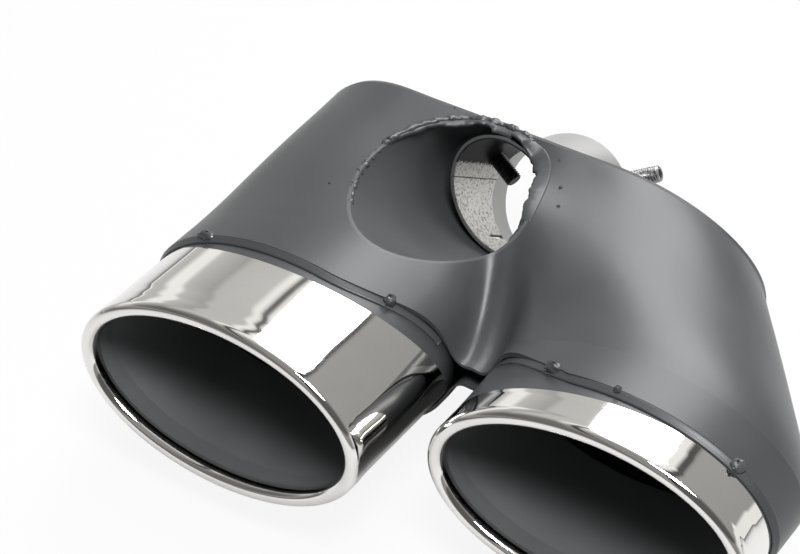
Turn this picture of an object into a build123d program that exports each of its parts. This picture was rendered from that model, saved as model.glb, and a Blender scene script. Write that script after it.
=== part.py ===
"""Twin oval exhaust tip with a downturned gas passage, clamped on a tailpipe.

Two polished oval sleeves with black liners stand in the front of one formed sheet housing.
The gas itself enters by the inlet collar at the back and leaves by the large hole in the top face.
Frame: origin where the narrow part of the inlet bore starts, X across the tips, Y towards the back, Z up.
"""
from math import copysign, cos, pi, radians, sin, sqrt, tan
import os

from build123d import *

os.makedirs("parts", exist_ok=True)

# Inlet collar: tube size, slope below the horizontal, length out and in, flared mouth, pipe seat, slit
collar_bore_radius = 26.0
collar_wall = 2.0
collar_pitch = 33.0
collar_outside = 31.0
collar_inside = 11.0
wide_bore_radius = 31.0
wide_length = 25.0
pipe_seat_radius = 26.4
pipe_seat_depth = 10.0
slit_width = 2.0
slit_length = 14.0
slit_angle = 238.0
weld_leg = 3.0
weld_chamfer = 1.8

# Housing: sheet, place of the rear wall, length and the height of its flat back end
sheet = 1.5
housing_length = 133.0
tip_axis_height = 15.5
rear_half_height = 43.0
rear_left_reach = 104.0
rear_right_reach = 129.0
rear_right_round = 80.0
front_straight = 21.0
flank_ease = 0.12
valley_share = 0.6
pinch_half_height = 6.0
rear_fold_radius = 5.0
fold_steps = 3
outline_steps = 20
stations = (0.0, 0.18, 0.36, 0.54, 0.75, 1.0)
notch_depth = 17.0
notch_half_width = 62.0
notch_steps = 12

# Tips: spacing, lip plane, opening, lip and how far each one stands out of the housing
tip_pitch = 157.8
left_tip_offset = 29.4
opening_half_width = 64.0
opening_half_height = 34.7
lip_radius = 3.3
lip_round = 3.1
sleeve_wall = 1.2
lip_rake = 5.0
right_toe = 2.0
left_reach = 57.0
right_reach = 31.0
sleeve_insert = 17.0
sleeve_clearance = 0.15
sleeve_ease = 0.12

# Black liners inside the tips
liner_wall = 1.0
liner_depth = 54.0
liner_clearance = 0.2
liner_overlap = 1.6
liner_seat = 8.0
liner_taper = 8.0

# Gas passage from the inlet collar up to the hole in the top face
outlet_half_length = 55.0
outlet_half_width = 39.0
outlet_setback = 62.0
outlet_turn = 10.0
outlet_offset = -1.0
outlet_margin = 4.0
duct_end_radius = 35.0
duct_wall = 1.5

# Two clamp screws in the collar, with their welded nuts
screw_radius = 4.0
screw_length = 38.0
screw_setback = 21.0
screw_angles = {"left": 150.0, "right": 30.0}
left_screw_reach_in = 14.0
right_screw_gap = 1.0
socket_width = 4.0
socket_depth = 4.5
nut_width = 13.0
nut_height = 6.5
nut_clearance = 0.15
thread_chamfer = 0.8

# Tack welds along the front edge of the housing
tack_radius = 2.4
tack_angles = {"left": (128.0, 51.0), "right": (117.0, 92.0, 44.0)}

# Places that follow from the sizes above
pitch = radians(collar_pitch)
axis_y, axis_z = cos(pitch), -sin(pitch)
collar_radius = collar_bore_radius + collar_wall
wall_y = -collar_outside * axis_y
front_y = wall_y - housing_length
left_x = -left_tip_offset
right_x = left_x + tip_pitch
middle_x = (left_x + right_x) / 2
sleeve_half_width = opening_half_width + 2 * lip_radius
sleeve_half_height = opening_half_height + 2 * lip_radius
lobe_half_width = sleeve_half_width + sleeve_clearance + sheet
lobe_half_height = sleeve_half_height + sleeve_clearance + sheet


def collar_point(distance, out=0.0, angle=90.0):
    """Point at a distance in from the start of the bore, out from its axis at an angle round it."""
    across = out * cos(radians(angle))
    up = out * sin(radians(angle))
    return (across, -distance * axis_y + up * sin(pitch), -distance * axis_z + up * cos(pitch))


def lobe_height(x, grow):
    """Half height of the two-lobed front outline at x."""
    offset = abs(x - middle_x) - tip_pitch / 2
    share = 1 - (offset / (lobe_half_width + grow)) ** 2
    lobe = (lobe_half_height + grow) * sqrt(max(share, 0.0))
    inward = max(1 - 2 * abs(x - middle_x) / tip_pitch, 0.0)
    return sqrt(lobe ** 2 + (inward * (pinch_half_height + grow)) ** 2)


def rear_height(x, grow):
    """Half height of the rear outline: round at the left, flat on top, a long oval at the right."""
    height = rear_half_height + grow
    left_centre = -rear_left_reach + rear_half_height
    right_centre = rear_right_reach - rear_right_round
    if x < left_centre:
        return sqrt(max(height ** 2 - (left_centre - x) ** 2, 0.0))
    if x > right_centre:
        return height * sqrt(max(1 - ((x - right_centre) / (rear_right_round + grow)) ** 2, 0.0))
    return height


def housing_outline(share, grow):
    """Closed outline of the housing at a share of the way from its front part to its rear wall."""
    fill = min(share / valley_share, 1.0)
    ease = fill * fill * (3 - 2 * fill)
    lean = (1 + flank_ease) * share * share / (share + flank_ease)
    front_ends = (left_x - lobe_half_width - grow, right_x + lobe_half_width + grow)
    rear_ends = (-rear_left_reach - grow, rear_right_reach + grow)
    top = []
    for step in range(outline_steps + 1):
        turn = copysign((1 + cos(2 * pi * step / outline_steps)) / 2, step - outline_steps / 2)
        front = sum(front_ends) / 2 + turn * (front_ends[1] - front_ends[0]) / 2
        rear = sum(rear_ends) / 2 + turn * (rear_ends[1] - rear_ends[0]) / 2
        x = front + lean * (rear - front)
        height = lobe_height(front, grow) * (1 - ease) + rear_height(rear, grow) * ease
        top.append((x, height))
    bottom = [(x, -height) for x, height in reversed(top[1:-1])]
    return top + bottom


def outline_sketch(y, share, grow):
    """Filled outline of the housing in an upright plane at y."""
    plane = Plane((0, y, tip_axis_height), x_dir=(1, 0, 0), z_dir=(0, -1, 0))
    with BuildSketch(plane) as section:
        with BuildLine():
            Spline(*housing_outline(share, grow), periodic=True)
        make_face()
    return section.sketch


def edge_y(x):
    """Front edge of the housing at x, drawn back in a smooth wave between the tips."""
    offset = min(abs(x - middle_x) / notch_half_width, 1.0)
    return front_y + notch_depth * (1 + cos(pi * offset)) / 2


def housing_body(grow, front, rear, fold):
    """Smooth body through the housing's outlines, with the fold of its rear edge."""
    straight_end = front_y + front_straight
    fold_start = rear - fold
    sections = []
    for share in stations:
        sections.append(outline_sketch(straight_end + share * (fold_start - straight_end), share, grow))
    folds = [sections[-1]]
    for step in range(1, fold_steps + 1):
        turn = step / fold_steps * pi / 2
        folds.append(outline_sketch(fold_start + fold * sin(turn), 1.0, grow - fold * (1 - cos(turn))))
    with BuildPart() as body:
        loft([outline_sketch(front, 0.0, grow), sections[0]], ruled=True)
        loft(sections)
        loft(folds, ruled=True)
    return body.part


def tip_plane(x, reach, toe, depth=0.0):
    """Plane at a depth in a tip: leaned back by the rake and turned out by the toe."""
    into = Vector(0, 1, 0).rotate(Axis.Z, toe)
    across = Vector(1, 0, 0).rotate(Axis.Z, toe)
    normal = into.rotate(Axis((0, 0, 0), across), -lip_rake)
    origin = Vector(x, front_y, tip_axis_height) + into * (depth - reach)
    return Plane(origin, x_dir=across, z_dir=normal), into


def sleeve_rod(x, reach, toe, grow):
    """Oval bar with the outside of a sleeve, from its lip to its rear end."""
    plane, into = tip_plane(x, reach, toe)
    with BuildPart() as rod:
        with BuildSketch(plane):
            Ellipse(sleeve_half_width + grow, sleeve_half_height + grow)
        extrude(amount=reach + sleeve_insert + grow, dir=into)
    return rod.part


def build_sleeve(name, x, reach, toe):
    """Polished oval sleeve: a thin tube with a thick rolled lip at its front."""
    plane, into = tip_plane(x, reach, toe)
    with BuildPart() as sleeve:
        add(sleeve_rod(x, reach, toe, 0.0))
        with BuildSketch(tip_plane(x, reach, toe, 2 * lip_radius)[0]):
            Ellipse(sleeve_half_width - sleeve_wall, sleeve_half_height - sleeve_wall)
        extrude(amount=reach + sleeve_insert, dir=into, mode=Mode.SUBTRACT)
        with BuildSketch(plane):
            Ellipse(opening_half_width, opening_half_height)
        extrude(amount=reach, dir=into, mode=Mode.SUBTRACT)
        front_edges = sleeve.faces().sort_by(Axis.Y)[0].edges()
        fillet(front_edges, radius=lip_round)
    sleeve.part.label = name
    export_step(sleeve.part, f"parts/{name}.step")


def build_liner(name, x, reach, toe):
    """Black inner tube, set behind the rolled lip and tapered towards the back."""
    start = 2 * lip_radius + liner_clearance
    with BuildPart() as liner:
        for grow, mode in ((liner_overlap, Mode.ADD), (liner_overlap - liner_wall, Mode.SUBTRACT)):
            with BuildSketch(tip_plane(x, reach, toe, start)[0]) as front:
                Ellipse(opening_half_width + grow, opening_half_height + grow)
            with BuildSketch(tip_plane(x, reach, toe, start + liner_seat)[0]) as seat:
                Ellipse(opening_half_width + grow, opening_half_height + grow)
            with BuildSketch(tip_plane(x, reach, toe, start + liner_depth)[0]) as back:
                taper = grow - liner_taper
                Ellipse(opening_half_width + taper, opening_half_height + taper)
            loft([front.sketch, seat.sketch], mode=mode)
            loft([seat.sketch, back.sketch], mode=mode)
    liner.part.label = name
    export_step(liner.part, f"parts/{name}.step")


def duct_body(grow):
    """Passage from the hole in the top face down to the rear wall."""
    top_z = tip_axis_height + rear_half_height + outlet_margin
    top_plane = Plane((outlet_offset, wall_y - outlet_setback, top_z))
    end_y = wall_y - sheet
    end_plane = Plane((0, end_y, -end_y * tan(pitch)), x_dir=(1, 0, 0), z_dir=(0, -1, 0))
    with BuildPart() as passage:
        with BuildSketch(top_plane):
            Ellipse(outlet_half_width + grow, outlet_half_length + grow, rotation=outlet_turn)
        with BuildSketch(end_plane):
            Circle(duct_end_radius + grow)
        loft()
    return passage.part


sleeve_places = {
    "left": (left_x, left_reach, 0.0),
    "right": (right_x, right_reach, right_toe),
}
collar_plane = Plane((0, 0, 0), x_dir=(1, 0, 0), z_dir=(0, -axis_y, -axis_z))


def collar_cone(radius, wide_radius):
    """Cone along the inlet's axis, from where its bore starts out to its wide mouth."""
    with BuildPart() as cone:
        with BuildSketch(collar_plane):
            Circle(radius)
        with BuildSketch(collar_plane.offset(-wide_length)):
            Circle(wide_radius)
        loft()
    return cone.part


def collar_rod(radius, start, end):
    """Round bar along the inlet's axis, between two distances in from the start of its bore."""
    with BuildPart() as rod:
        with BuildSketch(collar_plane.offset(start)):
            Circle(radius)
        extrude(amount=end - start)
    return rod.part


outer = housing_body(0.0, front_y, wall_y, rear_fold_radius)
inner = housing_body(-sheet, front_y - sheet, wall_y - sheet, rear_fold_radius - sheet)
duct_outside = duct_body(duct_wall)
duct_inside = duct_body(0.0)
collar_reach = collar_outside + collar_inside / axis_y + collar_radius * tan(pitch)

with BuildPart() as housing_shell:
    add(outer)
    add(inner, mode=Mode.SUBTRACT)
    add(duct_outside, mode=Mode.SUBTRACT)
    add(collar_rod(collar_radius, 0, collar_reach), mode=Mode.SUBTRACT)
    with BuildSketch(Plane.XY):
        with BuildLine():
            shares = [2 * step / notch_steps - 1 for step in range(notch_steps + 1)]
            places = [middle_x + notch_half_width * share for share in shares]
            wave = Spline(*[(x, edge_y(x)) for x in places], tangents=((1, 0), (1, 0)))
            ahead = front_y - notch_depth
            Polyline(wave @ 1, (places[-1], ahead), (places[0], ahead), wave @ 0)
        make_face()
    extrude(amount=2 * tip_axis_height + rear_half_height, both=True, mode=Mode.SUBTRACT)
    for place in sleeve_places.values():
        add(sleeve_rod(*place, sleeve_ease), mode=Mode.SUBTRACT)
housing_shell.part.label = "housing_shell"
export_step(housing_shell.part, "parts/housing_shell.step")

with BuildPart() as gas_duct:
    add(duct_outside)
    add(duct_inside, mode=Mode.SUBTRACT)
    add(outer, mode=Mode.INTERSECT)
gas_duct.part.label = "gas_duct"
export_step(gas_duct.part, "parts/gas_duct.step")

for side, place in sleeve_places.items():
    build_sleeve(f"{side}_tip_sleeve", *place)
    build_liner(f"{side}_tip_liner", *place)


def screw_plane(angle):
    """Plane on the collar's axis whose Z points out along a clamp screw."""
    up = collar_radius * sin(radians(angle)) * sin(pitch)
    distance = (up - wall_y - screw_setback) / axis_y
    out = Vector(*collar_point(0, 1.0, angle))
    along = Vector(0, axis_y, axis_z)
    return Plane(collar_point(distance), x_dir=along, z_dir=out)


def screw_hole(angle, radius):
    """Round bar from the collar's axis out past the nut, for the holes that a screw passes."""
    with BuildPart() as bar:
        with BuildSketch(screw_plane(angle)):
            Circle(radius)
        extrude(amount=collar_radius + nut_height + screw_length)
    return bar.part


# The collar has a flared mouth, a seat for the pipe, a slit and an upright inner end
with BuildPart() as inlet_collar:
    add(collar_rod(collar_radius, 0, collar_reach))
    add(collar_cone(collar_radius, wide_bore_radius + collar_wall))
    add(collar_cone(pipe_seat_radius, wide_bore_radius), mode=Mode.SUBTRACT)
    add(collar_rod(collar_bore_radius, 0, collar_reach), mode=Mode.SUBTRACT)
    add(collar_rod(pipe_seat_radius, 0, pipe_seat_depth), mode=Mode.SUBTRACT)
    split(bisect_by=Plane((0, wall_y - collar_inside, 0), z_dir=(0, 1, 0)), keep=Keep.TOP)
    for angle in screw_angles.values():
        add(screw_hole(angle, screw_radius + nut_clearance), mode=Mode.SUBTRACT)
    slit_plane = Plane(collar_point(slit_length / 2, collar_bore_radius, slit_angle), collar_plane.z_dir,
                       Vector(*collar_point(0, 1.0, slit_angle)))
    with BuildSketch(slit_plane):
        Rectangle(slit_length, slit_width)
    extrude(amount=2 * collar_wall, both=True, mode=Mode.SUBTRACT)
inlet_collar.part.label = "inlet_collar"
export_step(inlet_collar.part, "parts/inlet_collar.step")

# Weld bead round the collar on the rear wall
with BuildPart() as collar_weld:
    add(collar_rod(collar_radius + weld_leg, 0, collar_reach))
    add(collar_rod(collar_radius, 0, collar_reach), mode=Mode.SUBTRACT)
    split(bisect_by=Plane((0, wall_y, 0), z_dir=(0, 1, 0)), keep=Keep.TOP)
    split(bisect_by=Plane((0, wall_y + weld_leg, 0), z_dir=(0, 1, 0)), keep=Keep.BOTTOM)
    outer_edges = collar_weld.edges().group_by(Axis.Y)[-1].sort_by(SortBy.LENGTH)[-1:]
    chamfer(outer_edges, length=weld_chamfer)
collar_weld.part.label = "collar_weld"
export_step(collar_weld.part, "parts/collar_weld.step")

screw_tips = {
    "left": collar_bore_radius - left_screw_reach_in,
    "right": collar_bore_radius + right_screw_gap,
}
for side, angle in screw_angles.items():
    plane = screw_plane(angle)
    tip = screw_tips[side]
    with BuildPart() as nut:
        with BuildSketch(plane.offset(collar_bore_radius)):
            RegularPolygon(nut_width / 2, 6, major_radius=False)
            Circle(screw_radius + nut_clearance, mode=Mode.SUBTRACT)
        extrude(amount=collar_wall + nut_height)
        top_face = nut.faces().sort_by(Axis(plane.origin, plane.z_dir))[-1]
        chamfer(top_face.outer_wire().edges(), length=thread_chamfer)
        add(collar_rod(collar_radius, 0, collar_reach), mode=Mode.SUBTRACT)
    nut.part.label = f"weld_nut_{side}"
    export_step(nut.part, f"parts/weld_nut_{side}.step")

    with BuildPart() as screw:
        with BuildSketch(plane.offset(tip)):
            Circle(screw_radius)
        extrude(amount=screw_length)
        chamfer(screw.edges(), length=thread_chamfer)
        with BuildSketch(plane.offset(tip + screw_length - socket_depth)):
            RegularPolygon(socket_width / 2, 6, major_radius=False)
        extrude(amount=socket_depth, mode=Mode.SUBTRACT)
    screw.part.label = f"clamp_screw_{side}"
    export_step(screw.part, f"parts/clamp_screw_{side}.step")


def build_tacks(name, x, reach, toe, angles):
    """Short welds that hold a sleeve in the front edge of the housing."""
    with BuildPart() as tacks:
        for angle in angles:
            across = x + sleeve_half_width * cos(radians(angle))
            up = tip_axis_height + sleeve_half_height * sin(radians(angle))
            with Locations((across, edge_y(across), up)):
                Sphere(tack_radius)
        add(sleeve_rod(x, reach, toe, 0.0), mode=Mode.SUBTRACT)
        add(housing_shell.part, mode=Mode.SUBTRACT)
    tacks.part.label = name
    export_step(tacks.part, f"parts/{name}.step")


for side, angles in tack_angles.items():
    build_tacks(f"tack_welds_{side}", *sleeve_places[side], angles)
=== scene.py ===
"""Looks of the twin oval exhaust tip: polished sleeves, satin painted housing, bare steel collar."""
import math

import bpy
from mathutils import Matrix, Vector, noise
from mathutils.bvhtree import BVHTree


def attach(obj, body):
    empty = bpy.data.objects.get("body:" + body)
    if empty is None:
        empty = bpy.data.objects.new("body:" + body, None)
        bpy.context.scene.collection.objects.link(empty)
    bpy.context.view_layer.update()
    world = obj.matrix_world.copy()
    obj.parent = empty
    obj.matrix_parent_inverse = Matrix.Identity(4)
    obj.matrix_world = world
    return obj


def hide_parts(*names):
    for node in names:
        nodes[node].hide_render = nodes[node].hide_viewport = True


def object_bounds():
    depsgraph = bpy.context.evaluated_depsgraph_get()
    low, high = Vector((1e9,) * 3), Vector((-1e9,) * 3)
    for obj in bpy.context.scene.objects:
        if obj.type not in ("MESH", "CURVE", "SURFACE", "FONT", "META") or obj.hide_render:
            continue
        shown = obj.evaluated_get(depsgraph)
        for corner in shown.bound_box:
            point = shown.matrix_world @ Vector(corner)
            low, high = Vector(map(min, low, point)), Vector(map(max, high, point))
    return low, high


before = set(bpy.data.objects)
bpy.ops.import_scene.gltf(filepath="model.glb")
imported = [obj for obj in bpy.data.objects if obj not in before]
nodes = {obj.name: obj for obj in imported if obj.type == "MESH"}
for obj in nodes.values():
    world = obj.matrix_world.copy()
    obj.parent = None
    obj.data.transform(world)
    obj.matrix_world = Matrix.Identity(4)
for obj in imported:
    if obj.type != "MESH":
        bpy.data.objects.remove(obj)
cad_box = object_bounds()
MM = 0.001

# Sizes shared with the solids, in millimetres, with angles in degrees
PITCH = math.radians(33.0)
COLLAR_OUTSIDE = 31.0
COLLAR_RADIUS = 28.0
BORE_RADIUS = 26.0
HOUSING_LENGTH = 133.0
OUTLET_SETBACK = 62.0
MIDDLE_X = 49.5
NOTCH_DEPTH = 17.0
NOTCH_HALF_WIDTH = 62.0
TIP_AXIS_HEIGHT = 15.5
OPENING = (64.0, 34.7)
LIP_RADIUS = 3.3
LIP_ROUND = 3.1
LIP_RAKE = 5.0
SLEEVE_WALL = 1.2
SLEEVE_INSERT = 17.0
SCREW_RADIUS = 4.0
SCREW_LENGTH = 38.0
SCREW_SETBACK = 21.0
SCREW_ANGLES = {"left": 150.0, "right": 30.0}
SCREW_REACH_IN = {"left": 14.0, "right": -1.0}
SOCKET_WIDTH = 4.0
SOCKET_DEPTH = 4.5
THREAD_CHAMFER = 0.8
WALL_Y = -COLLAR_OUTSIDE * math.cos(PITCH)
FRONT_Y = WALL_Y - HOUSING_LENGTH
MOUTH_Y = WALL_Y - OUTLET_SETBACK
SLEEVE_HALF_WIDTH, SLEEVE_HALF_HEIGHT = (half + 2 * LIP_RADIUS for half in OPENING)

# Each tip's middle, reach ahead of the housing and toe-in. Its bright strip behind the lip: depth on top,
# gain towards the underside and skew across, then the greatest depth on the outer and on the inner flank
TIPS = {
    "left": {"x": -29.4, "reach": 57.0, "toe": 0.0,
             "bright": (45.6, 18.6, 2.9), "longest": (50.5, 72.0)},
    "right": {"x": 128.4, "reach": 31.0, "toe": 2.0,
              "bright": (21.0, 3.0, 5.5), "longest": (23.0, 24.0)},
}

# Sleeves: rings along the bright strip, steps round them and over the lip, the paint's thin edge, rings close
# behind the lip, how far the lip stands above the tube, the length in which it eases, its turn back inside
SLEEVE_ROWS = 24
SLEEVE_COLUMNS = 288
LIP_STEPS = 12
PAINT_EDGE = 0.01
LIP_NEAR = (0.6, 0.2)
LIP_PROUD = 0.35
LIP_EASE = 13.0
LIP_BACK = 1.0
# Slight waves of the polished tube: height, then their scales across, up and along it
SLEEVE_WAVE = 0.12
WAVE_ACROSS, WAVE_UP, WAVE_ALONG = 2.2, 1.3, 0.035

# Fillet of paint at the housing's front edge: reach to either side of the flank, steps along it and in each
# fading end, sink of the ends, then the section as height above the sleeve and distance ahead of the edge
SEAM_REACH = 158.0
SEAM_STEPS = 240
SEAM_FADE = 45
SEAM_SINK = 0.3
SEAM_SECTION = ((1.67, -0.5), (1.6, 0.1), (1.3, 0.8), (0.85, 1.5), (0.4, 2.3), (0.06, 3.2),
                (-0.5, 3.2), (-0.5, -0.5))

# Screw threads: pitch and depth, rings along the screw and steps round it
THREAD_PITCH = 1.25
THREAD_DEPTH = 0.7
SCREW_ROWS = 150
SCREW_COLUMNS = 36

# Edge of the gas outlet: the skin is felt from this height over this depth, outwards from a first distance
FEEL_FROM = 120.0
FEEL_DEPTH = 110.0
EDGE_FROM = 25.0
EDGE_STEP = 0.1
# Slope of the skin outside that edge: where it is measured, and the steepest that counts
SLOPE_NEAR = 1.0
SLOPE_FAR = 4.0
SLOPE_LIMIT = 0.4

# Weld in the gas outlet: first direction and sweep, steps along it and in each fading end, direction where it
# is widest, width, gain and how sharply that falls, waves as height and scale, least width, width at an end
RIM_FIRST, RIM_SWEEP = -48, 263
RIM_STEPS = 340
RIM_FADE = 70
RIM_WIDEST = 65
RIM_WIDTH, RIM_GAIN, RIM_FALL = 0.8, 5.5, 1.2
RIM_WAVES = ((1.5, 0.12), (0.7, 0.35))
RIM_LEAST = 0.6
RIM_END = 0.4
# Its section: share of the width inwards, or millimetres outwards where negative, and height above the skin
RIM_SECTION = ((-1.0, 0.02), (-0.3, 0.12), (0.4, 0.12), (0.85, 0.05), (1.0, -0.35), (1.04, -1.0),
               (1.0, -1.9), (0.4, -2.4), (-0.4, -1.0))

# Bead along that weld: first and last direction, steps along it, round it and in each fading end, size, share
# of the size at an end, flatness, height above the skin, then its swell and ripple as height and scale
BEAD_FIRST, BEAD_LAST = 78, 225
BEAD_STEPS = 300
BEAD_COLUMNS = 14
BEAD_FADE = 6
BEAD_RADIUS = 1.7
BEAD_END = 0.25
BEAD_FLATNESS = 0.7
BEAD_RISE = 0.1
SWELL_HEIGHT, SWELL_SCALE = 0.6, 0.3
RIPPLE_HEIGHT, RIPPLE_SCALE = 0.35, 0.8

# Lumps of weld metal: rings and steps round them, unevenness, its scale and its shift from lump to lump
BLOB_ROWS, BLOB_COLUMNS = 14, 20
BLOB_UNEVEN = 0.35
BLOB_SCALE = 1.4
BLOB_SHIFT = 0.9
# Half sizes of the tack welds from left to right, and the distance within which points belong to one of them
TACKS = {
    "left": ((5.0, 2.4, 2.6), (2.6, 2.8, 2.6)),
    "right": ((4.0, 2.6, 2.6), (1.8, 1.8, 2.0), (3.6, 3.2, 2.2)),
}
TACK_SPREAD = 8
# Weld spatter beside the gas outlet: direction from its middle, distance outside its edge, half size
SPATTER = ((38, 7.0, 0.9), (22, 9.0, 0.8), (60, 5.0, 0.6), (118, 8.0, 0.5), (205, 10.0, 0.6))

# Inside of the collar, in metres: radius and end of its narrow part, lower edge of the painted shade on its
# upper inside and how far that strays, height and half width of the painted shadow stripe below it
NARROW_RADIUS = 0.0268
NARROW_END = 0.0005
SHADE_EDGE = 0.0092
SHADE_STRAY = 0.006
SHADOW_LINE_HEIGHT = 0.0018
SHADOW_LINE_HALF_WIDTH = 0.00025
# Colour of that painted shade, put where the upper inside of the narrow bore lies in shade
PAINTED_SHADE_COLOR = (0.03, 0.032, 0.034)
FLARE_COLOR = (0.42, 0.42, 0.415)
STEEL_METALLIC = 0.85

# Studio: drop and half size of the floor, its tone and how far it is whitened, strength of the even light
FLOOR_DROP = 1.0
FLOOR_HALF = 3000
FLOOR_TONE = 0.55
FLOOR_WHITE = 0.9
EVEN_LIGHT = 0.2
# Grey and white walls mirrored in the polish, by their angle above the right-hand side, and their tint
WALLS = ((0, 0.95), (16, 0.95), (20, 0.36), (74, 0.40), (76, 0.10), (79, 0.10), (81, 1.0), (112, 1.0),
         (114, 0.15), (116, 0.15), (117, 1.0), (120, 1.0), (122, 0.62), (140, 0.58), (143, 0.42),
         (157, 0.6), (160, 1.0), (167, 1.0), (172, 0.55), (180, 0.6))
WALL_TINT = (1.0, 0.985, 0.955)
# The room is darker on the photographer's side: share of light there, and where it starts and stops rising
ROOM_DARK = 0.3
DARK_UNTIL, LIT_FROM = -0.35, 0.25

# Camera of the photograph: sensor and lens in millimetres, place in metres, turns in degrees
SENSOR_WIDTH = 36
LENS = 116.0
CAMERA_PLACE = (0.4730, -0.8435, 0.7089)
CAMERA_HEADING, CAMERA_TILT, CAMERA_ROLL = 33.22, 52.0, 0.29


# Building blocks of the materials
def new_material(name):
    """New material: returns it with its node tree and shader."""
    material = bpy.data.materials.new(name)
    material.use_nodes = True
    tree = material.node_tree
    return material, tree, tree.nodes["Principled BSDF"]


def noise_node(tree, scale, detail=4.0, rough=0.55):
    """Noise in the part's own coordinates."""
    place = tree.nodes.new("ShaderNodeTexCoord")
    texture = tree.nodes.new("ShaderNodeTexNoise")
    texture.inputs["Scale"].default_value = scale
    texture.inputs["Detail"].default_value = detail
    texture.inputs["Roughness"].default_value = rough
    tree.links.new(place.outputs["Object"], texture.inputs["Vector"])
    return texture.outputs["Fac"]


def ramp_node(tree, source, stops):
    """Colour ramp over a value."""
    ramp = tree.nodes.new("ShaderNodeValToRGB")
    while len(ramp.color_ramp.elements) < len(stops):
        ramp.color_ramp.elements.new(0.5)
    for element, (place, color) in zip(ramp.color_ramp.elements, stops):
        element.position = place
        element.color = (*color, 1.0)
    tree.links.new(source, ramp.inputs["Fac"])
    return ramp.outputs["Color"]


def range_node(tree, source, low, high, start=0.25, stop=0.75):
    """A value that goes from low to high while its source goes from start to stop."""
    spread = tree.nodes.new("ShaderNodeMapRange")
    spread.inputs["From Min"].default_value = start
    spread.inputs["From Max"].default_value = stop
    spread.inputs["To Min"].default_value = low
    spread.inputs["To Max"].default_value = high
    tree.links.new(source, spread.inputs["Value"])
    return spread.outputs["Result"]


def math_node(tree, operation, first, second=0.0):
    """Result of an operation on two values, each a number or an output."""
    node = tree.nodes.new("ShaderNodeMath")
    node.operation = operation
    for socket, value in zip(node.inputs, (first, second)):
        if isinstance(value, float):
            socket.default_value = value
        else:
            tree.links.new(value, socket)
    return node.outputs["Value"]


def color_node(tree, share, first, second):
    """An output's colour, replaced by a plain colour where the share is 1."""
    node = tree.nodes.new("ShaderNodeMix")
    node.data_type = "RGBA"
    node.inputs["B"].default_value = (*second, 1)
    tree.links.new(share, node.inputs["Factor"])
    tree.links.new(first, node.inputs["A"])
    return node.outputs["Result"]


def shader_node(tree, share, first, second):
    """Two shaders blended by a share of the second one."""
    node = tree.nodes.new("ShaderNodeMixShader")
    tree.links.new(share, node.inputs["Fac"])
    tree.links.new(first, node.inputs[1])
    tree.links.new(second, node.inputs[2])
    return node.outputs["Shader"]


def bump_node(tree, shader, source, strength, distance=0.0002):
    """Surface relief from a value."""
    bump = tree.nodes.new("ShaderNodeBump")
    bump.inputs["Strength"].default_value = strength
    bump.inputs["Distance"].default_value = distance
    tree.links.new(source, bump.inputs["Height"])
    tree.links.new(bump.outputs["Normal"], shader.inputs["Normal"])


# Materials
def paint_material(name, low, high, rough):
    """Satin grey paint with a fine sprayed grain and a slow change of tone."""
    material, tree, shader = new_material(name)
    tone = noise_node(tree, scale=22.0)
    color = ramp_node(tree, tone, ((0.3, low), (0.7, high)))
    tree.links.new(color, shader.inputs["Base Color"])
    grain = noise_node(tree, scale=2600.0, detail=2.0)
    tree.links.new(range_node(tree, tone, rough - 0.03, rough + 0.03), shader.inputs["Roughness"])
    bump_node(tree, shader, grain, strength=0.12)
    shader.inputs["Specular IOR Level"].default_value = 0.42
    return material


def polished_material(name, low, high):
    """Polished stainless steel with faint buffing haze."""
    material, tree, shader = new_material(name)
    haze = noise_node(tree, scale=60.0, detail=5.0)
    color = ramp_node(tree, haze, ((0.3, low), (0.7, high)))
    tree.links.new(color, shader.inputs["Base Color"])
    tree.links.new(range_node(tree, haze, low=0.035, high=0.06), shader.inputs["Roughness"])
    shader.inputs["Metallic"].default_value = 1.0
    return material


def steel_material(name, low, high, rough):
    """Bare steel with speckles of weld smoke and scale."""
    material, tree, shader = new_material(name)
    speckle = noise_node(tree, scale=700.0, detail=6.0, rough=0.7)
    color = ramp_node(tree, speckle, ((0.36, low), (0.5, high)))
    tree.links.new(color, shader.inputs["Base Color"])
    tree.links.new(range_node(tree, speckle, rough + 0.1, rough), shader.inputs["Roughness"])
    shader.inputs["Metallic"].default_value = STEEL_METALLIC
    bump_node(tree, shader, speckle, strength=0.2)
    return material


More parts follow.
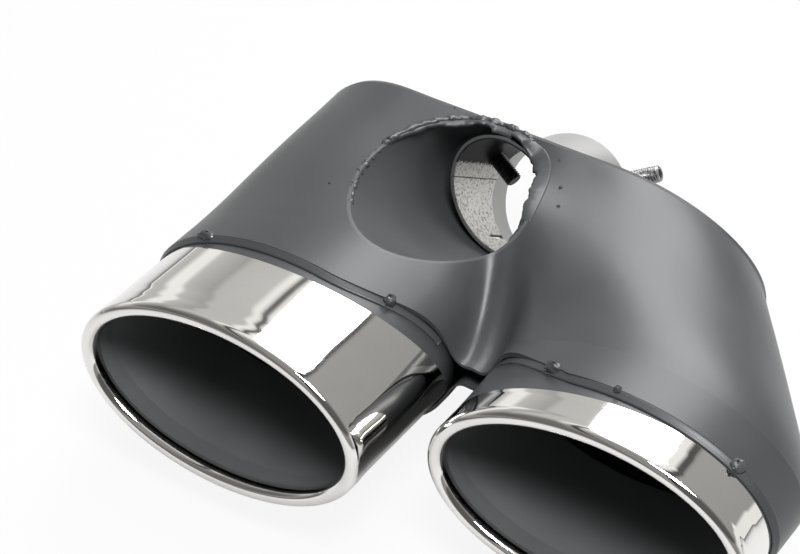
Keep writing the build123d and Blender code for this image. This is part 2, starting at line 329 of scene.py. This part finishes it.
def collar_material(name, low, high, rough):
    """Bare speckled steel, plain on the flare, with painted shade and a painted shadow stripe inside the
    narrow part.
    """
    material = steel_material(name, low, high, rough)
    tree = material.node_tree
    shader = tree.nodes["Principled BSDF"]
    place = tree.nodes.new("ShaderNodeTexCoord")
    apart = tree.nodes.new("ShaderNodeSeparateXYZ")
    tree.links.new(place.outputs["Object"], apart.inputs["Vector"])
    x, y, z = (apart.outputs[axis] for axis in "XYZ")

    def reckon(operation, first, second=0.0):
        return math_node(tree, operation, first, second)

    rise = reckon("ADD", reckon("MULTIPLY", y, math.sin(PITCH)), reckon("MULTIPLY", z, math.cos(PITCH)))
    outward = reckon("SUBTRACT", reckon("MULTIPLY", y, math.cos(PITCH)),
                     reckon("MULTIPLY", z, math.sin(PITCH)))
    squared = reckon("ADD", reckon("MULTIPLY", rise, rise), reckon("MULTIPLY", x, x))
    within = reckon("LESS_THAN", squared, NARROW_RADIUS ** 2)
    narrow = reckon("MULTIPLY", within, reckon("LESS_THAN", outward, NARROW_END))
    # Painted shade: above a ragged height the upper inside of the narrow part is coloured near black, with a
    # thin painted shadow stripe just below
    ragged = reckon("SUBTRACT", noise_node(tree, scale=900.0, detail=3.0), 0.5)
    edge = reckon("ADD", rise, reckon("MULTIPLY", ragged, SHADE_STRAY))
    upper = reckon("GREATER_THAN", edge, SHADE_EDGE)
    shadow_line = reckon("LESS_THAN", reckon("ABSOLUTE", reckon("SUBTRACT", rise, SHADOW_LINE_HEIGHT)), SHADOW_LINE_HALF_WIDTH)
    painted_shade = reckon("MULTIPLY", narrow, reckon("MAXIMUM", upper, shadow_line))
    speckled = shader.inputs["Base Color"].links[0].from_socket
    plain = color_node(tree, reckon("SUBTRACT", 1.0, narrow), speckled, FLARE_COLOR)
    tree.links.new(color_node(tree, painted_shade, plain, PAINTED_SHADE_COLOR), shader.inputs["Base Color"])
    # The painted shade is also made non-metallic, so it mirrors nothing
    metallic = reckon("SUBTRACT", STEEL_METALLIC, reckon("MULTIPLY", painted_shade, STEEL_METALLIC))
    tree.links.new(metallic, shader.inputs["Metallic"])
    shader.inputs["Specular IOR Level"].default_value = 0.1
    return material


PAINT = paint_material("satin_grey_paint", (0.038, 0.0405, 0.043), (0.046, 0.049, 0.0515), rough=0.36)
DUCT = paint_material("duct_grey_paint", (0.062, 0.065, 0.068), (0.075, 0.078, 0.081), rough=0.42)
WELD_PAINT = paint_material("painted_weld", (0.034, 0.036, 0.038), (0.062, 0.065, 0.068), rough=0.26)
LINER = paint_material("liner_black_paint", (0.078, 0.081, 0.083), (0.096, 0.099, 0.101), rough=0.45)
POLISHED = polished_material("polished_steel", (0.80, 0.79, 0.77), (0.84, 0.83, 0.81))
COLLAR = collar_material("collar_steel", (0.16, 0.15, 0.14), (0.66, 0.65, 0.62), rough=0.35)
BARE = steel_material("bare_steel", (0.16, 0.15, 0.14), (0.62, 0.61, 0.58), rough=0.35)
BLACK = steel_material("black_oxide_steel", (0.012, 0.012, 0.012), (0.045, 0.045, 0.047), rough=0.28)
# Lighter copy of the black screw steel: painted light for the right screw's outer end, which stands lit from
# behind
SCREW_BACKLIT_STEEL = steel_material("black_steel_painted_backlit", (0.03, 0.03, 0.03), (0.30, 0.30, 0.30), rough=0.3)

NODE_MATERIALS = {
    "housing_shell": PAINT,
    "gas_duct": DUCT,
    "left_tip_liner": LINER,
    "right_tip_liner": LINER,
    "inlet_collar": COLLAR,
    "collar_weld": WELD_PAINT,
    "weld_nut_left": BARE,
    "weld_nut_right": BARE,
}
for node_name, material in NODE_MATERIALS.items():
    node = nodes[node_name]
    node.data.materials.clear()
    node.data.materials.append(material)


# Building blocks of the pieces
def add_piece(name, points, faces, materials, indices=None, smooth=True):
    """Mesh object on the part's one body."""
    mesh = bpy.data.meshes.new(name)
    mesh.from_pydata([Vector(point) * MM for point in points], [], faces)
    for material in materials:
        mesh.materials.append(material)
    for number, polygon in enumerate(mesh.polygons):
        polygon.use_smooth = smooth
        if indices:
            polygon.material_index = indices[number]
    mesh.update()
    piece = bpy.data.objects.new(name, mesh)
    bpy.context.scene.collection.objects.link(piece)
    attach(piece, "root")
    return piece


def grid_faces(rows, columns, closed_rows=False):
    """Quads between rows of points that each close on themselves."""
    faces = []
    last = rows if closed_rows else rows - 1
    for row in range(last):
        following = (row + 1) % rows
        for column in range(columns):
            right = (column + 1) % columns
            faces.append((row * columns + column, following * columns + column,
                          following * columns + right, row * columns + right))
    return faces


def tube_faces(rows, columns):
    """Quads between rows of points, with a face over the first and over the last row."""
    faces = grid_faces(rows, columns)
    faces.append(tuple(reversed(range(columns))))
    faces.append(tuple(range((rows - 1) * columns, rows * columns)))
    return faces


def turns_round(columns):
    """Angles of evenly spaced points on a circle."""
    return [2 * math.pi * column / columns for column in range(columns)]


def heading_to(angle):
    """Level direction at an angle seen from above."""
    return Vector((math.cos(math.radians(angle)), math.sin(math.radians(angle)), 0))


def end_fade(step, steps, length):
    """Share that rises from 0 at both ends of a run of steps to 1 within a length."""
    return min(1.0, min(step, steps - step) / length)


# Polished sleeves
def tip_axes(tip):
    """Lip centre and directions of a tip: across, up in the lip's plane and in along the tip."""
    toe = math.radians(tip["toe"])
    rake = math.radians(LIP_RAKE)
    into = Vector((-math.sin(toe), math.cos(toe), 0))
    across = Vector((math.cos(toe), math.sin(toe), 0))
    up = Vector((0, 0, math.cos(rake))) + into * math.sin(rake)
    centre = Vector((tip["x"], FRONT_Y, TIP_AXIS_HEIGHT)) - into * tip["reach"]
    return centre, across, up, into


def sleeve_profile(length, bright):
    """Inset and depth of each ring of a sleeve, round its lip from the outer end to the inner end."""
    lip = 2 * LIP_RADIUS
    depths = [length, bright + PAINT_EDGE, bright]
    depths += [bright - (bright - LIP_ROUND) * step / SLEEVE_ROWS for step in range(1, SLEEVE_ROWS)]
    depths += [LIP_ROUND + near for near in LIP_NEAR]
    outside = [(LIP_PROUD * min(1.0, max(0.0, depth - LIP_ROUND) / LIP_EASE) ** 2, depth) for depth in depths]
    rounded = []
    for step in range(LIP_STEPS + 1):
        turn = step / LIP_STEPS * math.pi / 2
        rounded.append((LIP_ROUND * (1 - math.cos(turn)), LIP_ROUND * (1 - math.sin(turn))))
    inner = [(lip - inset, depth) for inset, depth in reversed(rounded)]
    back = [(lip, lip), (SLEEVE_WALL, lip + LIP_BACK), (SLEEVE_WALL, length)]
    return outside + rounded + inner + back


def bright_depth(side, turn):
    """Depth of the paint's edge behind the lip, at an angle round the sleeve: shortest on top."""
    top, rise, skew = TIPS[side]["bright"]
    outer, inner = TIPS[side]["longest"]
    depth = top + rise * (1 - math.sin(turn)) + skew * math.cos(turn)
    inward = math.cos(turn) if side == "left" else -math.cos(turn)
    return min(depth, outer + (inner - outer) * ((1 + inward) / 2) ** 3)


def build_sleeve(side):
    """Polished sleeve with its rolled lip and the painted band beside the housing."""
    tip = TIPS[side]
    centre, across, up, into = tip_axes(tip)
    length = tip["reach"] + SLEEVE_INSERT
    turns = turns_round(SLEEVE_COLUMNS)
    profiles = [sleeve_profile(length, bright_depth(side, turn)) for turn in turns]
    rows = len(profiles[0])
    points = []
    for row in range(rows):
        for turn, profile in zip(turns, profiles):
            inset, depth = profile[row]
            if depth > LIP_ROUND and row < SLEEVE_ROWS:
                place = (math.cos(turn) * WAVE_ACROSS, math.sin(turn) * WAVE_UP, depth * WAVE_ALONG)
                inset += SLEEVE_WAVE * (noise.noise(Vector(place)) + 1)
            wide = (SLEEVE_HALF_WIDTH - inset) * math.cos(turn)
            high = (SLEEVE_HALF_HEIGHT - inset) * math.sin(turn)
            points.append(centre + across * wide + up * high + into * depth)
    faces = grid_faces(rows, SLEEVE_COLUMNS, closed_rows=True)
    painted_rows = (0, 1, rows - 1)
    indices = [1 if row in painted_rows else 0 for row in range(rows) for turn in turns]
    sleeve = add_piece(f"{side}_sleeve_polished", points, faces, (POLISHED, PAINT),
                       indices)
    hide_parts(f"{side}_tip_sleeve")


# Paint at the housing's front edge
def housing_edge(x):
    """Front edge of the housing at x, drawn back in a smooth wave between the tips."""
    offset = min(abs(x - MIDDLE_X) / NOTCH_HALF_WIDTH, 1.0)
    return FRONT_Y + NOTCH_DEPTH * (1 + math.cos(math.pi * offset)) / 2


def build_seam(side):
    """Fillet of paint that softens the step from the housing's front edge down to a sleeve."""
    tip = TIPS[side]
    centre, across, up, into = tip_axes(tip)
    flank = math.pi if side == "left" else 0.0
    points = []
    for step in range(SEAM_STEPS + 1):
        turn = flank + math.radians(SEAM_REACH) * (2 * step / SEAM_STEPS - 1)
        fade = end_fade(step, SEAM_STEPS, SEAM_FADE)
        wide, high = math.cos(turn), math.sin(turn)
        ring = centre + across * SLEEVE_HALF_WIDTH * wide + up * SLEEVE_HALF_HEIGHT * high
        edge = ring + into * tip["reach"]
        depth = tip["reach"] + (housing_edge(edge.x) - edge.y) / into.y
        out = (across * wide / SLEEVE_HALF_WIDTH + up * high / SLEEVE_HALF_HEIGHT).normalized()
        for height, ahead in SEAM_SECTION:
            points.append(ring + into * (depth - ahead) + out * (height * fade - SEAM_SINK * (1 - fade)))
    faces = tube_faces(SEAM_STEPS + 1, len(SEAM_SECTION))
    add_piece(f"{side}_seam_paint", points, faces, (PAINT,))


# Clamp screws
def collar_point(distance, out, angle):
    """Point at a distance in from the start of the bore, out from its axis at an angle round it."""
    across = out * math.cos(math.radians(angle))
    rise = out * math.sin(math.radians(angle))
    y = rise * math.sin(PITCH) - distance * math.cos(PITCH)
    z = distance * math.sin(PITCH) + rise * math.cos(PITCH)
    return Vector((across, y, z))


def build_screw(side):
    """Clamp screw with a cut thread and a hexagon socket in its outer end."""
    angle = SCREW_ANGLES[side]
    rise = COLLAR_RADIUS * math.sin(math.radians(angle)) * math.sin(PITCH)
    distance = (rise - WALL_Y - SCREW_SETBACK) / math.cos(PITCH)
    base = collar_point(distance, BORE_RADIUS - SCREW_REACH_IN[side], angle)
    out = collar_point(0, 1, angle).normalized()
    along = Vector((0, math.cos(PITCH), -math.sin(PITCH)))
    beside = out.cross(along)
    turns = turns_round(SCREW_COLUMNS)
    points = []

    def add_point(height, turn, radius):
        points.append(base + out * height + (along * math.cos(turn) + beside * math.sin(turn)) * radius)

    for row in range(SCREW_ROWS + 1):
        height = SCREW_LENGTH * row / SCREW_ROWS
        end = min(height, SCREW_LENGTH - height)
        for column, turn in enumerate(turns):
            wave = (height / THREAD_PITCH - column / SCREW_COLUMNS) % 1.0
            radius = SCREW_RADIUS - THREAD_DEPTH * abs(2 * wave - 1)
            add_point(height, turn, min(radius, SCREW_RADIUS - THREAD_CHAMFER + end))
    socket_rows = (SCREW_LENGTH, SCREW_LENGTH - SOCKET_DEPTH)
    for height in socket_rows:
        for turn in turns:
            sector = (turn % (math.pi / 3)) - math.pi / 6
            add_point(height, turn, SOCKET_WIDTH / 2 / math.cos(sector))
    faces = tube_faces(SCREW_ROWS + 1 + len(socket_rows), SCREW_COLUMNS)
    # The right screw takes the lighter copy, painted light for its backlit end
    finish = BLACK if side == "left" else SCREW_BACKLIT_STEEL
    screw = add_piece(f"{side}_screw_threaded", points, faces, (finish,), smooth=False)
    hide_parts(f"clamp_screw_{side}")


# Welds round the gas outlet and at the front edge
def top_of_housing(x, y):
    """Height of the housing's upper skin above x and y, or None over its hole."""
    hit = housing_tree.ray_cast(Vector((x, y, FEEL_FROM)) * MM, Vector((0, 0, -1)), FEEL_DEPTH * MM)
    return None if hit[0] is None else hit[0].z / MM


def hole_edge(angle):
    """Point on the edge of the gas outlet, in a direction seen from above."""
    heading = heading_to(angle)
    reach = EDGE_FROM
    while top_of_housing(heading.x * reach, MOUTH_Y + heading.y * reach) is None:
        reach += EDGE_STEP
    x, y = heading.x * reach, MOUTH_Y + heading.y * reach
    return Vector((x, y, top_of_housing(x, y)))


def skin_slope(edge, inward):
    """Rise of the housing's skin towards the gas outlet, just outside its edge."""
    near, far = edge - inward * SLOPE_NEAR, edge - inward * SLOPE_FAR
    heights = top_of_housing(near.x, near.y), top_of_housing(far.x, far.y)
    if None in heights:
        return 0.0
    slope = (heights[0] - heights[1]) / (SLOPE_FAR - SLOPE_NEAR)
    return max(-SLOPE_LIMIT, min(SLOPE_LIMIT, slope))


def build_rim():
    """Uneven weld that closes the seam between the gas outlet and the duct, widest at the back."""
    points = []
    for step in range(RIM_STEPS + 1):
        angle = RIM_FIRST + RIM_SWEEP * step / RIM_STEPS
        edge = hole_edge(angle)
        inward = -heading_to(angle)
        width = RIM_WIDTH + RIM_GAIN * max(0.0, math.cos(math.radians(angle - RIM_WIDEST))) ** RIM_FALL
        width += sum(height * noise.noise(edge * scale) for height, scale in RIM_WAVES)
        width = RIM_END + end_fade(step, RIM_STEPS, RIM_FADE) * max(width, RIM_LEAST)
        slope = skin_slope(edge, inward)
        for share, height in RIM_SECTION:
            reach = share * width if share > 0 else share
            points.append(edge + inward * reach + Vector((0, 0, height + slope * reach)))
    faces = tube_faces(RIM_STEPS + 1, len(RIM_SECTION))
    add_piece("outlet_rim_weld", points, faces, (PAINT,))


def build_bead():
    """Hand-laid weld bead along the edge of the gas outlet, uneven in width and height."""
    angles = [BEAD_FIRST + (BEAD_LAST - BEAD_FIRST) * step / BEAD_STEPS for step in range(BEAD_STEPS + 1)]
    path = [hole_edge(angle) + Vector((0, 0, BEAD_RISE)) for angle in angles]
    points = []
    for step, point in enumerate(path):
        before = path[max(step - 1, 0)]
        after = path[min(step + 1, BEAD_STEPS)]
        along = (after - before).normalized()
        beside = along.cross(Vector((0, 0, 1))).normalized()
        up = beside.cross(along)
        size = BEAD_RADIUS * (BEAD_END + (1 - BEAD_END) * end_fade(step, BEAD_STEPS, BEAD_FADE))
        size *= 1 + SWELL_HEIGHT * noise.noise(point * SWELL_SCALE)
        for turn in turns_round(BEAD_COLUMNS):
            around = Vector((math.cos(turn), math.sin(turn), 0))
            reach = size * (1 + RIPPLE_HEIGHT * noise.noise(point * RIPPLE_SCALE + around))
            points.append(point + beside * around.x * reach + up * around.y * reach * BEAD_FLATNESS)
    faces = tube_faces(len(path), BEAD_COLUMNS)
    add_piece("outlet_weld_bead", points, faces, (WELD_PAINT,))


def add_blob(points, faces, centre, halves):
    """Lump of weld metal: an uneven ball, stretched by three half sizes."""
    first = len(points)
    for row in range(BLOB_ROWS):
        tilt = math.pi * (row + 0.5) / BLOB_ROWS
        for turn in turns_round(BLOB_COLUMNS):
            level = math.sin(tilt)
            ball = Vector((level * math.cos(turn), level * math.sin(turn), math.cos(tilt)))
            reach = 1 + BLOB_UNEVEN * noise.noise(ball * BLOB_SCALE + centre * BLOB_SHIFT)
            points.append(centre + Vector(half * part for half, part in zip(halves, ball)) * reach)
    faces += [tuple(first + corner for corner in face) for face in tube_faces(BLOB_ROWS, BLOB_COLUMNS)]


def lump_centres(node):
    """Middle of each separate lump of a node, from left to right."""
    groups = []
    for vertex in node.data.vertices:
        point = node.matrix_world @ vertex.co / MM
        for group in groups:
            if (group[0] - point).length < TACK_SPREAD:
                group.append(point)
                break
        else:
            groups.append([point])
    return sorted((sum(group, Vector()) / len(group) for group in groups), key=lambda centre: centre.x)


def build_tacks(side):
    """Uneven tack welds in the places of the solids' plain ones."""
    points, faces = [], []
    for centre, halves in zip(lump_centres(nodes[f"tack_welds_{side}"]), TACKS[side]):
        add_blob(points, faces, centre, halves)
    tacks = add_piece(f"{side}_tacks_lumpy", points, faces, (WELD_PAINT,))
    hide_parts(f"tack_welds_{side}")


def build_spatter():
    """Small drops of weld metal on the skin beside the gas outlet."""
    points, faces = [], []
    for angle, outside, half in SPATTER:
        spot = hole_edge(angle) + heading_to(angle) * outside
        spot.z = top_of_housing(spot.x, spot.y)
        add_blob(points, faces, spot, (half, half, half))
    add_piece("weld_spatter", points, faces, (WELD_PAINT,))


for side in TIPS:
    build_sleeve(side)
for side in TIPS:
    build_seam(side)
for side in SCREW_ANGLES:
    build_screw(side)
housing_tree = BVHTree.FromObject(nodes["housing_shell"], bpy.context.evaluated_depsgraph_get())
for side in TACKS:
    build_tacks(side)
build_rim()
build_bead()
build_spatter()


# Studio: pale floor, white surroundings, soft lights
def floor_material():
    """Pale floor that reads as white, with a faint shadow of the part."""
    material, tree, shader = new_material("pale_floor")
    shader.inputs["Base Color"].default_value = (FLOOR_TONE, FLOOR_TONE, FLOOR_TONE, 1)
    shader.inputs["Roughness"].default_value = 0.9
    glow = tree.nodes.new("ShaderNodeEmission")
    path = tree.nodes.new("ShaderNodeLightPath")
    share = math_node(tree, "MULTIPLY", path.outputs["Is Camera Ray"], FLOOR_WHITE)
    whitened = shader_node(tree, share, shader.outputs["BSDF"], glow.outputs["Emission"])
    tree.links.new(whitened, tree.nodes["Material Output"].inputs["Surface"])
    return material


def build_floor():
    """Level floor just below the part."""
    height = cad_box[0][2] / MM - FLOOR_DROP
    signs = ((-1, -1), (1, -1), (1, 1), (-1, 1))
    corners = [Vector((x * FLOOR_HALF, y * FLOOR_HALF, height)) * MM for x, y in signs]
    mesh = bpy.data.meshes.new("floor")
    mesh.from_pydata(corners, [], [(0, 1, 2, 3)])
    mesh.materials.append(floor_material())
    floor = bpy.data.objects.new("floor", mesh)
    bpy.context.scene.collection.objects.link(floor)


def build_world():
    """White behind the part, an even dim light on it, and grey and white walls in its polish."""
    world = bpy.data.worlds.new("studio")
    bpy.context.scene.world = world
    world.use_nodes = True
    tree = world.node_tree
    even = tree.nodes["Background"]
    even.inputs["Color"].default_value = (1, 1, 1, 1)
    even.inputs["Strength"].default_value = EVEN_LIGHT
    white = tree.nodes.new("ShaderNodeBackground")
    white.inputs["Color"].default_value = (1, 1, 1, 1)
    walls = tree.nodes.new("ShaderNodeBackground")

    direction = tree.nodes.new("ShaderNodeTexCoord")
    apart = tree.nodes.new("ShaderNodeSeparateXYZ")
    tree.links.new(direction.outputs["Generated"], apart.inputs["Vector"])
    turn = math_node(tree, "ARCTAN2", apart.outputs["Z"], apart.outputs["X"])
    place = range_node(tree, turn, 0.0, 1.0, start=-math.pi, stop=math.pi)
    stops = [((angle + 180) / 360, [tone * part for part in WALL_TINT]) for angle, tone in WALLS]
    bands = ramp_node(tree, place, stops)
    dimmed = tree.nodes.new("ShaderNodeVectorMath")
    dimmed.operation = "SCALE"
    lit = range_node(tree, apart.outputs["Y"], ROOM_DARK, 1.0, start=DARK_UNTIL, stop=LIT_FROM)
    tree.links.new(bands, dimmed.inputs[0])
    tree.links.new(lit, dimmed.inputs["Scale"])
    tree.links.new(dimmed.outputs["Vector"], walls.inputs["Color"])

    path = tree.nodes.new("ShaderNodeLightPath")
    light = shader_node(tree, path.outputs["Is Glossy Ray"], even.outputs["Background"],
                        walls.outputs["Background"])
    seen = shader_node(tree, path.outputs["Is Camera Ray"], light, white.outputs["Background"])
    tree.links.new(seen, tree.nodes["World Output"].inputs["Surface"])


def soft_light(name, place, aim, wide, high, power):
    """Large rectangular softbox, in metres and watts."""
    data = bpy.data.lights.new(name, "AREA")
    data.shape = "RECTANGLE"
    data.size = wide
    data.size_y = high
    data.energy = power
    lamp = bpy.data.objects.new(name, data)
    lamp.location = place
    lamp.rotation_euler = (Vector(aim) - Vector(place)).to_track_quat("-Z", "Y").to_euler()
    bpy.context.scene.collection.objects.link(lamp)


def build_camera():
    """Camera of the photograph."""
    data = bpy.data.cameras.new("camera")
    data.sensor_width = SENSOR_WIDTH
    data.sensor_fit = "HORIZONTAL"
    data.lens = LENS
    camera = bpy.data.objects.new("camera", data)
    heading = Matrix.Rotation(math.radians(CAMERA_HEADING), 4, "Z")
    tilt = Matrix.Rotation(math.radians(CAMERA_TILT), 4, "X")
    roll = Matrix.Rotation(math.radians(CAMERA_ROLL), 4, "Z")
    camera.matrix_world = Matrix.Translation(CAMERA_PLACE) @ (heading @ tilt @ roll)
    bpy.context.scene.collection.objects.link(camera)
    bpy.context.scene.camera = camera


build_floor()
build_world()
soft_light("back_softbox", (-0.06, 0.58, 1.185), aim=(0.05, -0.32, 0.225), wide=0.62, high=1.8, power=23)
soft_light("front_fill", (0.6, -0.72, 1.6), aim=(0.05, -0.2, 0.02), wide=0.6, high=0.5, power=34)
build_camera()
bpy.context.scene.view_settings.view_transform = "Standard"
